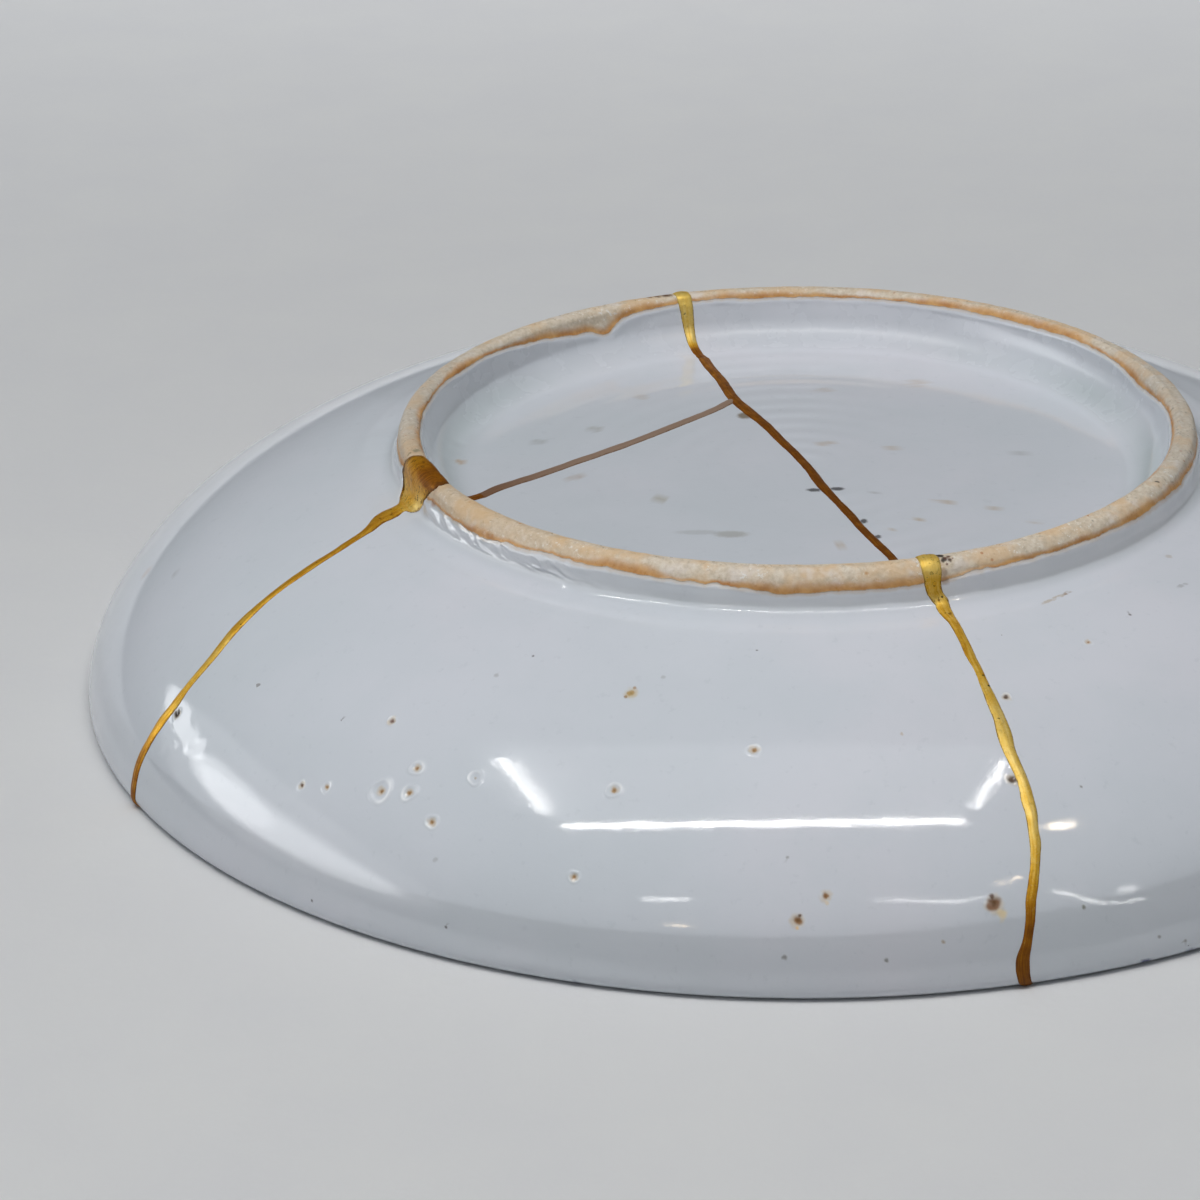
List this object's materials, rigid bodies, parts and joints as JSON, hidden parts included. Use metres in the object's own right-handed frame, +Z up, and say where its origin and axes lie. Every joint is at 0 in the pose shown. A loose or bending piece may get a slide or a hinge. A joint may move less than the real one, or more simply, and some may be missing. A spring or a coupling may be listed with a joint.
{
  "type": "kintsugi dish",
  "caption": "Shallow round porcelain dish with a low foot ring, mended with gold lacquer seams and a gold-filled chip in the foot, lying upside down on its rim.",
  "frame": {"origin": "middle of the rim's plane, on the surface that the dish lies on upside down", "axes": "+Z up along the dish's turning axis, out of the foot ring; -Y towards the side with the long crack's lower end, +X to the right of a viewer there"},
  "size_m": [0.152, 0.152, 0.0281],
  "materials": {
    "porcelain_glaze": "polished",
    "gold_lacquer": "satin"
  },
  "bodies": {
    "root": {"right_sherd": "porcelain_glaze", "front_left_sherd": "porcelain_glaze", "back_left_sherd": "porcelain_glaze", "gold_seam": "gold_lacquer"}
  },
  "joints": []
}
